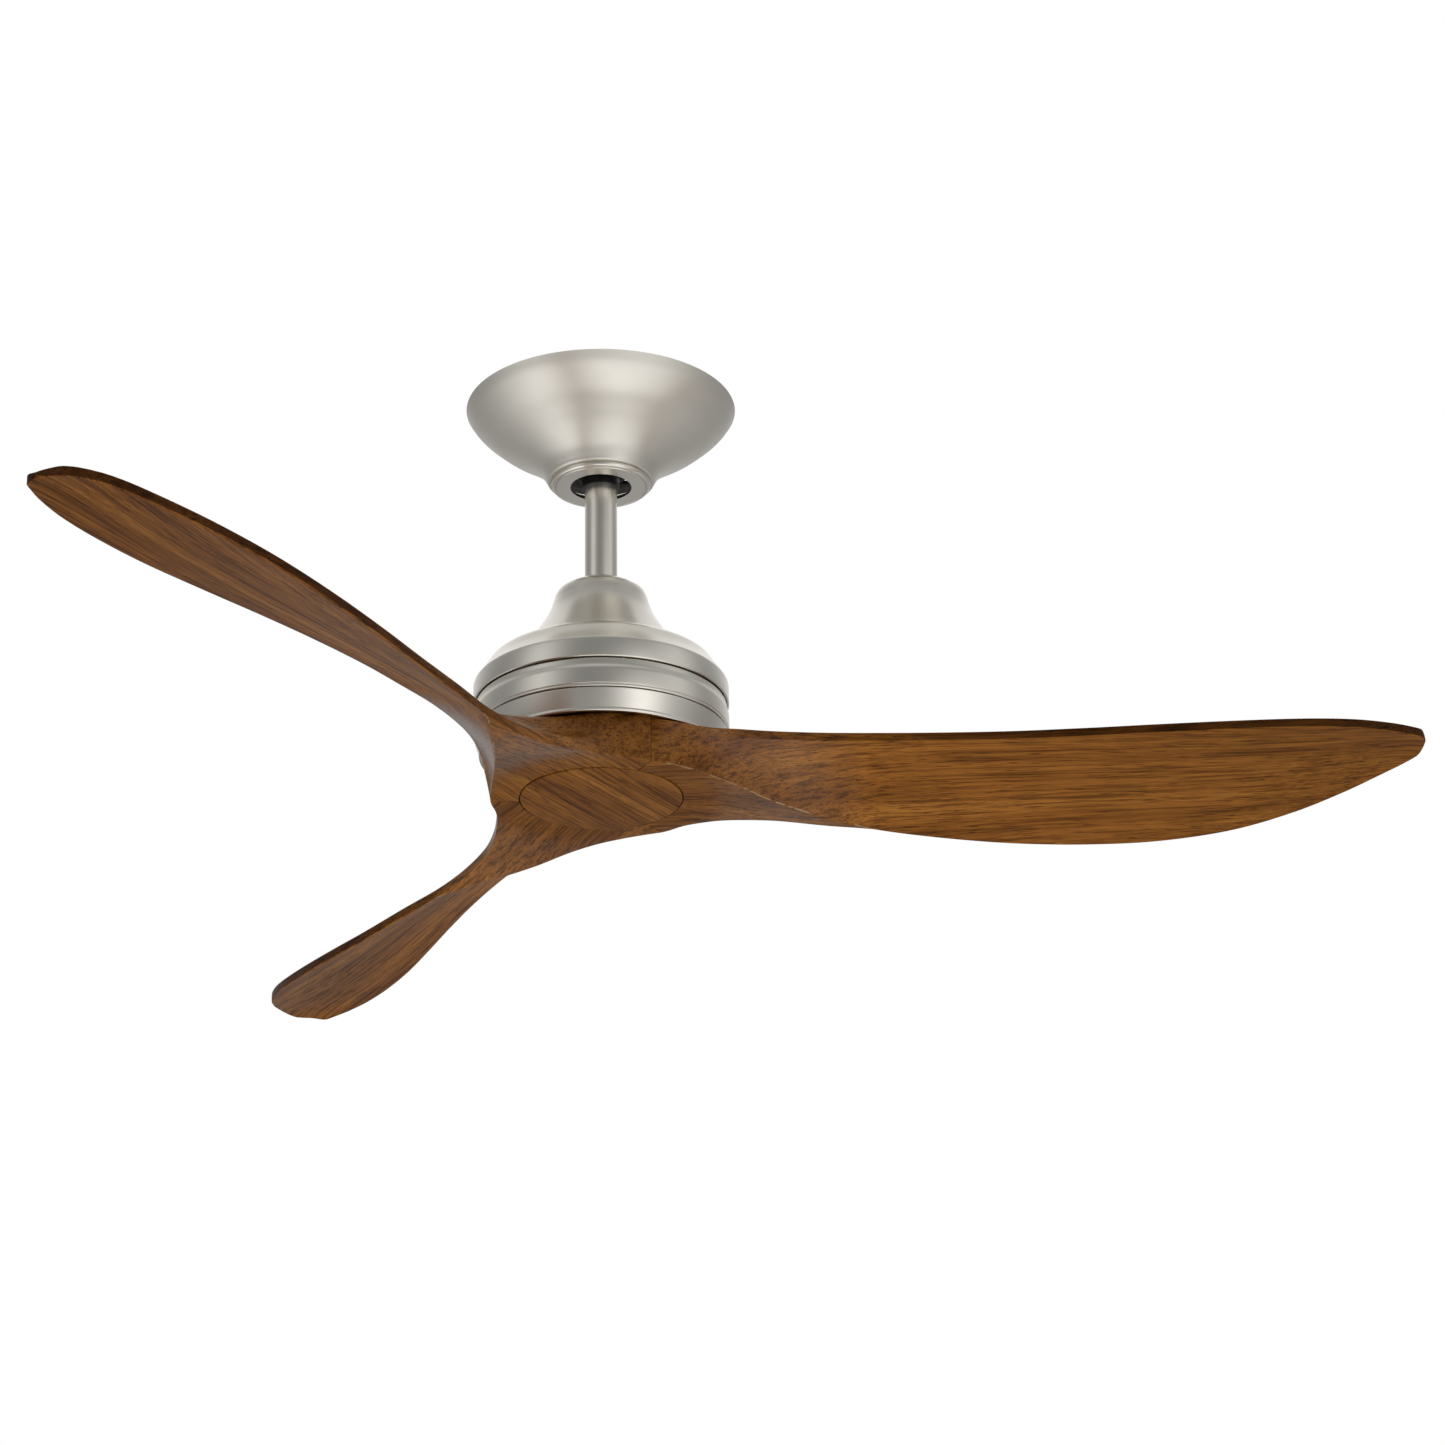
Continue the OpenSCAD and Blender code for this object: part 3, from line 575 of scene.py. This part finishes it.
def make_canopy_ring():
    top = COLLAR_Z - 2.4
    face = RING_FACE_Z
    outline = rounded([
        (RING_R, top), (RING_R, face + 1.9, 1.4), (RING_R - 1.6, face + 0.5, 1.2),
        (RING_R - 2.9, face + 0.5, 0.4), (RING_R - 3.6, face + 1.4, 0.3), (RING_R - 4.2, face, 0.5),
        (ROD_HOLE_R, face, 0.5), (ROD_HOLE_R, face + 1.4, 0.4), (RING_R - 4.6, face + 1.6),
        (RING_R - 3.5, face + 2.6), (RING_R - 2, face + 2.4), (RING_R - 1.4, face + 3.2),
        (RING_R - 1.4, top),
    ])
    place(lathe("canopy_ring_cover", outline, 256), "mount", "canopy_ring", NICKEL)


def make_downrod():
    outline = rounded([
        (ROD_R, ROD_TOP, 0.8), (ROD_R, ROD_BOTTOM, 0.8),
        (ROD_BORE, ROD_BOTTOM, 0.5), (ROD_BORE, ROD_TOP, 0.5),
    ])
    place(lathe("downrod_tube", outline, 128), "hanging", "downrod", NICKEL)


# ---------- motor housing ----------

def make_bell():
    outer = smooth([
        (17, BELL_TOP), (23, -160.5), (30.5, -164.5), (35.4, -168), (37.6, -172), (39.6, -179),
        (42.4, -187), (47, -196), (54.5, -208), (64, -222), (64.5, HOUSING_TOP),
    ], 8)
    inner = [
        (63.1, HOUSING_TOP), (62.5, -222), (53, -208.5), (45.5, -196.5), (41, -187.4),
        (38, -179.2), (35.8, -172), (33.8, -168.8), (29.6, -166), (22.6, -162.2), (BELL_BORE, -160),
    ]
    piece = lathe("coupling_bell", [(BELL_BORE, BELL_TOP - 0.4)] + outer + inner, 192)
    place(piece, "hanging", "coupling_cover", NICKEL)


def make_housing_upper():
    edge = BAND_R
    under_z = -226.2
    outer = smooth([
        (60, HOUSING_TOP), (76, -227), (84, -230), (88, -232.4), (90.6, -234), (92.4, -236),
        (94, -238.6), (97, -243.4), (100, -247.6), (102.6, -251), (edge - 0.4, -252.4), (edge, -254.4),
    ], 5)
    rim = rounded([
        outer[-1], (edge, -269, 1.6), (edge - 1.7, -269.2, 0.6), (edge - 2, -268),
        (edge - 2, -256), (edge - 3.2, -252.8), (97.8, -248), (94.6, -243.6), (91.6, -239),
        (89.6, -236.4), (86.8, -234.2), (83, -232), (75.4, -229), (60, under_z),
        (SHAFT_BORE, under_z), (SHAFT_BORE, HOUSING_TOP),
    ])
    piece = lathe("housing_top_shell", outer + rim[1:], 256)
    screws = [on_circle(HOUSING_SCREW_R, math.radians(45 + 90 * k)) for k in range(4)]
    drill(piece, [(x, y, 2.2, -230, -218, 32) for x, y in screws])
    place(piece, "hanging", "housing_upper", NICKEL)


def make_housing_band():
    edge = BAND_R
    top = BAND_TOP
    low = BAND_BOTTOM
    outline = rounded([
        (edge - 2, top + 11.8), (edge - 2, top + 10.4), (edge - 4, top + 10.4), (edge - 4, top + 0.2, 0.8),
        (edge - 1.8, top - 1.2, 0.8), (edge - 1.5, top - 6.4, 3), (edge, top - 9.8, 1.6),
        (edge, low + 3.8, 0.5), (edge - 0.8, low + 3.6, 0.3), (edge - 0.1, low + 3, 0.5),
        (edge - 0.1, low + 1.2, 1), (edge - 1.8, low + 0.9, 0.5), (edge - 2.4, low + 1.6),
        (edge - 2, low + 2.8), (edge - 2, top - 10.4), (edge - 5.6, top - 4), (edge - 5.6, top + 11.8),
    ])
    piece = lathe("housing_middle_band", outline, 256)
    place(piece, "hanging", "housing_band", NICKEL)


def make_housing_lower():
    edge = BAND_R
    top = BAND_BOTTOM
    outline = rounded([
        (edge - 3.4, top + 0.3), (edge - 0.5, top + 0.3, 0.9), (LIP_R - 0.2, LIP_Z + 2.8, 0.6),
        (LIP_R + 0.2, LIP_Z + 1.8, 0.5), (LIP_R - 0.3, LIP_Z, 0.9), (LIP_R - 3, LIP_Z),
        (LIP_R - 3, LIP_Z + 1.2), (LIP_R - 1.8, LIP_Z + 1.6), (edge - 2.3, top - 2.2),
        (edge - 4.6, top - 1.6), (edge - 4.6, top + 7), (edge - 2, top + 7), (edge - 2, top + 3.6),
        (edge - 3.4, top + 3.6),
    ])
    piece = lathe("housing_lower_band", outline, 256)
    place(piece, "hanging", "housing_lower", NICKEL)


# ---------- blades ----------

# Along the blade: where the seams end, where the root has left them, where the thin blade starts.
SEAM_END = 45
ROOT_START = 51
PLATE_START = 220


def seam_row(x, low):
    """Station whose sides lie on the seams to the neighbouring blades."""
    y = math.tan(math.radians(60)) * x - SEAM
    return [x, -y, HUB_TOP, -y, low + 1, 0.5 - y, low, y, low, y, HUB_TOP, 0.8 * y, HUB_TOP]


def plate_row(x, le_y, le_z, te_y, te_z):
    """Station of the thin blade, from the leading and the trailing edge of its underside."""
    return [
        x, le_y, le_z + BLADE_T, le_y, le_z, te_y - 1.2, te_z, te_y, te_z + 0.4, te_y, te_z + BLADE_T,
        (le_y + te_y) / 2, (le_z + te_z) / 2 + BLADE_T + 0.5,
    ]


# Each row holds x, then (y, z) of the leading edge's top and bottom, the arris under the root, the
# trailing edge's bottom and top, and the crest of the hollow above the trailing edge. Heights are
# measured from the underside of the hub.
BLADE_ROWS = [
    seam_row(10, 0),
    seam_row(SEAM_END, 0.5),
    [ROOT_START, -78, 36.6, -74, 2.5, -73, 1, 73.8, 0.5, 75, 40, 70, 40],
    [62, -75.5, 35.2, -68.4, 8, -65, 1.5, 65.4, 0.5, 66.4, 34, 63, 40],
    [76, -67.5, 35.2, -61.5, 17, -54, 1.5, 57, -0.5, 57.5, 20, 53, 39.5],
    [92, -58.5, 35.8, -56, 24, -41, 0.5, 50.5, -1.5, 50.8, 10.5, 27, 36],
    [112, -51, 37.2, -50.5, 28.5, -26, -2.5, 44, -4, 44.4, 5.5, 10, 32.5],
    [140, -44.5, 37.2, -44.5, 29.8, -6, -9, 39.2, -7.5, 39.6, 1, 2, 26],
    [180, -38.5, 37.2, -38.5, 29.4, 20, -13.5, 40, -12.5, 40.3, -4.5, 2, 19],
    plate_row(PLATE_START, -36.5, 28.8, 44.5, -15.5),
    plate_row(270, -35, 28.2, 56, -19.3),
    plate_row(330, -36.5, 27, 66.5, -22),
    plate_row(390, -41, 26, 74.5, -21.8),
    plate_row(450, -47, 25, 78, -19.2),
    plate_row(510, -52, 24, 74, -13),
    plate_row(560, -53, 23.7, 61, -4),
    plate_row(600, -50, 23.2, 43.5, 5.5),
    plate_row(630, -43, 22.2, 26, 13.5),
    plate_row(648, -36, 21.2, 11, 17.2),
    plate_row(657, -31, 20.3, -2, 18.6),
    plate_row(TIP_X, -26, 19.7, -14, 19.3),
]
STATIONS_X = [row[0] for row in BLADE_ROWS]
STRAIGHT_STRETCHES = 2
CORNERS = 6
CORNER_STEPS = 4
# The tip rounds off over its last millimetres, down to a share of its section.
TIP_ROUND = 5
TIP_LEFT = 0.08

# The worn edge's reach along the blade and round the arris, and the normal height under which a face is a
# rim and carries painted shade.
WORN_FROM = 58
WORN_TO = 240
WORN_REACH = 0.9
PAINTED_SHADE_NORMAL_Z = 0.4
BLADE_SHARP = 30


def share(x, start, end):
    """How far x is on the way from start to end, held between 0 and 1."""
    return max(0.0, min(1.0, (x - start) / (end - start)))


def blade_row(x):
    """The station at x: straight along the seams and to ROOT_START, smooth beyond it."""
    i = max(k for k in range(len(BLADE_ROWS) - 1) if STATIONS_X[k] <= x)
    t = (x - STATIONS_X[i]) / (STATIONS_X[i + 1] - STATIONS_X[i])
    if i < STRAIGHT_STRETCHES:
        middle = [a + (b - a) * t for a, b in zip(BLADE_ROWS[i], BLADE_ROWS[i + 1])]
    else:
        middle = [hermite(STATIONS_X, column, i, t) for column in zip(*BLADE_ROWS)]
    return [x] + middle[1:]


def blade_section(x):
    """Ring of points round the blade at x, its corners rounded."""
    row = blade_row(x)
    corners = [np.array(row[k:k + 2]) for k in range(1, 2 * CORNERS, 2)]
    # one value a corner: bows and counts belong to the side after it, a bow is a share of its length
    root = share(x, 210, 60) * share(x, SEAM_END, 60)
    bows = [0, -0.03 - 0.05 * root, 0, 0, -0.14 * root, -0.03]
    arris_round = 0.5 + 3 * share(x, 110, 190)
    rim_round = 1.4 + 1.6 * share(x, 60, 80) * share(x, 200, 140)
    rounds = [1.2, 1.2, arris_round, 0.8, rim_round, 9]
    counts = [4, 26, 8, 6, 10, 12]
    edges = [np.linalg.norm(corners[(k + 1) % CORNERS] - corners[k]) for k in range(CORNERS)]
    cuts = [min(rounds[k], 0.4 * edges[k], 0.4 * edges[k - 1]) for k in range(CORNERS)]

    def along(k, t):
        a, b = corners[k], corners[(k + 1) % CORNERS]
        d = b - a
        return a + d * t + 4 * t * (1 - t) * bows[k] * np.array([d[1], -d[0]])

    ring = []
    for k in range(CORNERS):
        t0, t1 = cuts[k] / edges[k], 1 - cuts[(k + 1) % CORNERS] / edges[k]
        before, after = along(k - 1, 1 - cuts[k] / edges[k - 1]), along(k, t0)
        ring += [round_corner(before, corners[k], after, s / CORNER_STEPS) for s in range(CORNER_STEPS)]
        ring += [along(k, t0 + (t1 - t0) * s / counts[k]) for s in range(counts[k])]
    ring = np.array(ring)
    end = share(x, TIP_X - TIP_ROUND, TIP_X)
    if end > 0:
        middle = ring.mean(0)
        ring = middle + (ring - middle) * max(TIP_LEFT, math.sqrt(1 - end * end))
    return [(x, y, z + HUB_Z) for y, z in ring]


def blade_stations():
    """Places of the blade's rings, closest together at the seams' end and at the tip."""
    stretches = [
        (STATIONS_X[0], SEAM_END, 6), (SEAM_END, ROOT_START, 4), (ROOT_START, PLATE_START, 60),
        (PLATE_START, TIP_X - 10, 72), (TIP_X - 10, TIP_X, 12),
    ]
    return [a + (b - a) * s / count for a, b, count in stretches for s in range(count)] + [TIP_X]


def hub_holes():
    """Holes in a blade's root: cap recess, shaft hole, pocket for the rotor and two screw holes."""
    holes = [
        (0, 0, RECESS_R, HUB_Z - 2, RECESS_TOP, 256),
        (0, 0, HUB_HOLE_R, HUB_Z - 2, PLATE_BOTTOM + 1, 128),
        (0, 0, POCKET_R, PLATE_BOTTOM, HUB_Z + HUB_TOP + 1, 192),
    ]
    for turn in (-BLADE_SCREW_TURN, BLADE_SCREW_TURN):
        x, y = on_circle(BLADE_SCREW_R, math.radians(turn))
        holes.append((x, y, 2, RECESS_TOP - 1, PLATE_BOTTOM + 1, 24))
    return holes


def on_worn_arris(face):
    """Whether a face of an unturned blade lies on the sharp arris under its root."""
    x, y, z = face.center / MM
    if not WORN_FROM < x < WORN_TO:
        return False
    row = blade_row(x)
    return math.hypot(y - row[5], z - HUB_Z - row[6]) < WORN_REACH


def make_blade(name, node, turn, shift):
    """A blade at so many degrees from the rotor's zero, its grain shifted so that no two look alike."""
    piece = loft(name, [blade_section(x) for x in blade_stations()])
    drill(piece, hub_holes(), BLADE_SHARP)
    worn = [face.index for face in piece.data.polygons if on_worn_arris(face)]
    turn += BLADE_TURN
    place(piece, "rotor", node, walnut("walnut_" + name, shift, turn), turn)
    for part in ("rim", "arris"):
        piece.data.materials.append(walnut(f"walnut_{part}_{name}", shift, turn, part))
    # steep side faces take the rim copy with its painted shade
    for face in piece.data.polygons:
        if abs(face.normal.z) < PAINTED_SHADE_NORMAL_Z:
            face.material_index = 1
    for index in worn:
        piece.data.polygons[index].material_index = 2


def make_cap(turn, shift):
    """The round cap, its grain along the blade at so many degrees."""
    outline = rounded([(0, CAP_TOP), (0, HUB_Z), (CAP_R, HUB_Z, 0.9), (CAP_R, CAP_TOP, 0.4)])
    material = walnut("walnut_cap", shift, BLADE_TURN + turn)
    place(lathe("wood_cap", outline, 256), "hanging", "light_cap", material)


# ---------- stage ----------

BASE_LIGHT = 0.17

# Patches of light round the object: azimuth from the camera's side towards +X, elevation and width
# in degrees, and strength.
LIGHT_PATCHES = [
    (-56, 22, 17, 0.62),
    (72, 22, 18, 0.5),
    (36, -3, 20, 1.2),
    (180, 40, 36, 0.95),
    (0, 90, 32, 0.5),
    (-60, -60, 34, 1.05),
    (60, -62, 34, 0.8),
    (0, -90, 70, 0.3),
]
FLOOR_Z = -5200
FLOOR_HALF = 20000

# The camera that fits the photograph: degrees, millimetres of lens and sensor, metres of place.
CAMERA_PITCH = 23.094
CAMERA_YAW = 1.869
CAMERA_ROLL = -0.798
CAMERA_LENS = 100.67
CAMERA_SENSOR = 36
CAMERA_PLACE = (0, -3.0182, -1.5704)


def light_patch(w, toward, azimuth, elevation, width, strength):
    """Brightness that falls off softly round one direction."""
    a, e = math.radians(azimuth), math.radians(elevation)
    dot = w.add("ShaderNodeVectorMath", operation="DOT_PRODUCT")
    w.link(toward, dot.inputs[0])
    dot.inputs[1].default_value = (math.sin(a) * math.cos(e), -math.cos(a) * math.cos(e), math.sin(e))
    sharpness = 1 / (1 - math.cos(math.radians(width)))
    away = w.calc("SUBTRACT", dot.outputs["Value"], 1.0)
    return w.calc("MULTIPLY", w.calc("EXPONENT", w.calc("MULTIPLY", away, sharpness)), strength)


def make_surroundings():
    """An even tone with soft bright patches, and plain white where the camera sees past the object."""
    world = bpy.data.worlds.new("studio")
    bpy.context.scene.world = world
    world.use_nodes = True
    world.node_tree.nodes.clear()
    w = Tree(world.node_tree)
    toward = w.add("ShaderNodeTexCoord").outputs["Generated"]
    total = BASE_LIGHT
    for patch in LIGHT_PATCHES:
        total = w.calc("ADD", light_patch(w, toward, *patch), total)
    around = w.add("ShaderNodeBackground")
    w.link(total, around.inputs["Color"])
    behind = w.add("ShaderNodeBackground")
    behind.inputs["Color"].default_value = (1, 1, 1, 1)
    either = w.add("ShaderNodeMixShader")
    w.link(w.add("ShaderNodeLightPath").outputs["Is Camera Ray"], either.inputs[0])
    w.link(around.outputs[0], either.inputs[1])
    w.link(behind.outputs[0], either.inputs[2])
    w.link(either.outputs[0], w.add("ShaderNodeOutputWorld").inputs["Surface"])


def make_floor():
    half = FLOOR_HALF
    corners = [(x, y, FLOOR_Z) for x, y in ((-half, -half), (half, -half), (half, half), (-half, half))]
    floor = new_piece("floor", corners, [[0, 1, 2, 3]])
    n = Nodes("pale_floor")
    blotches = n.noise(n.own_place(), 2, 3)
    n.to("Base Color", n.ramp(blotches, [(0.3, (0.84, 0.84, 0.83)), (0.7, (0.86, 0.86, 0.85))]))
    n.set(Roughness=0.8, Emission_Color=(1, 1, 1, 1), Emission_Strength=0.42)
    floor.data.materials.append(n.material)
    floor.visible_diffuse = False
    floor.visible_glossy = False


def make_camera():
    pitch, yaw, roll = (math.radians(a) for a in (CAMERA_PITCH, CAMERA_YAW, CAMERA_ROLL))
    ahead = Vector((math.sin(yaw) * math.cos(pitch), math.cos(yaw) * math.cos(pitch), math.sin(pitch)))
    right = Vector((math.cos(yaw), -math.sin(yaw), 0))
    up = right.cross(ahead)
    x = right * math.cos(roll) + up * math.sin(roll)
    y = up * math.cos(roll) - right * math.sin(roll)
    camera = bpy.data.objects.new("camera", bpy.data.cameras.new("camera"))
    bpy.context.scene.collection.objects.link(camera)
    camera.data.sensor_width = CAMERA_SENSOR
    camera.data.lens = CAMERA_LENS
    camera.data.clip_end = 100
    turn = Matrix((x, y, -ahead)).transposed().to_4x4()
    camera.matrix_world = Matrix.Translation(CAMERA_PLACE) @ turn
    bpy.context.scene.camera = camera


make_camera()
make_floor()
make_surroundings()
bpy.context.scene.view_settings.view_transform = "Standard"

make_canopy()
make_canopy_ring()
make_downrod()
make_bell()
make_housing_upper()
make_housing_band()
make_housing_lower()
make_blade("blade_near_left", "blade_a", -120, (0.31, 0.17, 0.05))
make_blade("blade_right", "blade_b", 0, (1.13, 0.42, 0.21))
make_blade("blade_far_left", "blade_c", 120, (2.07, 0.93, 0.38))
make_cap(-120, (3.3, 0.61, 0.57))
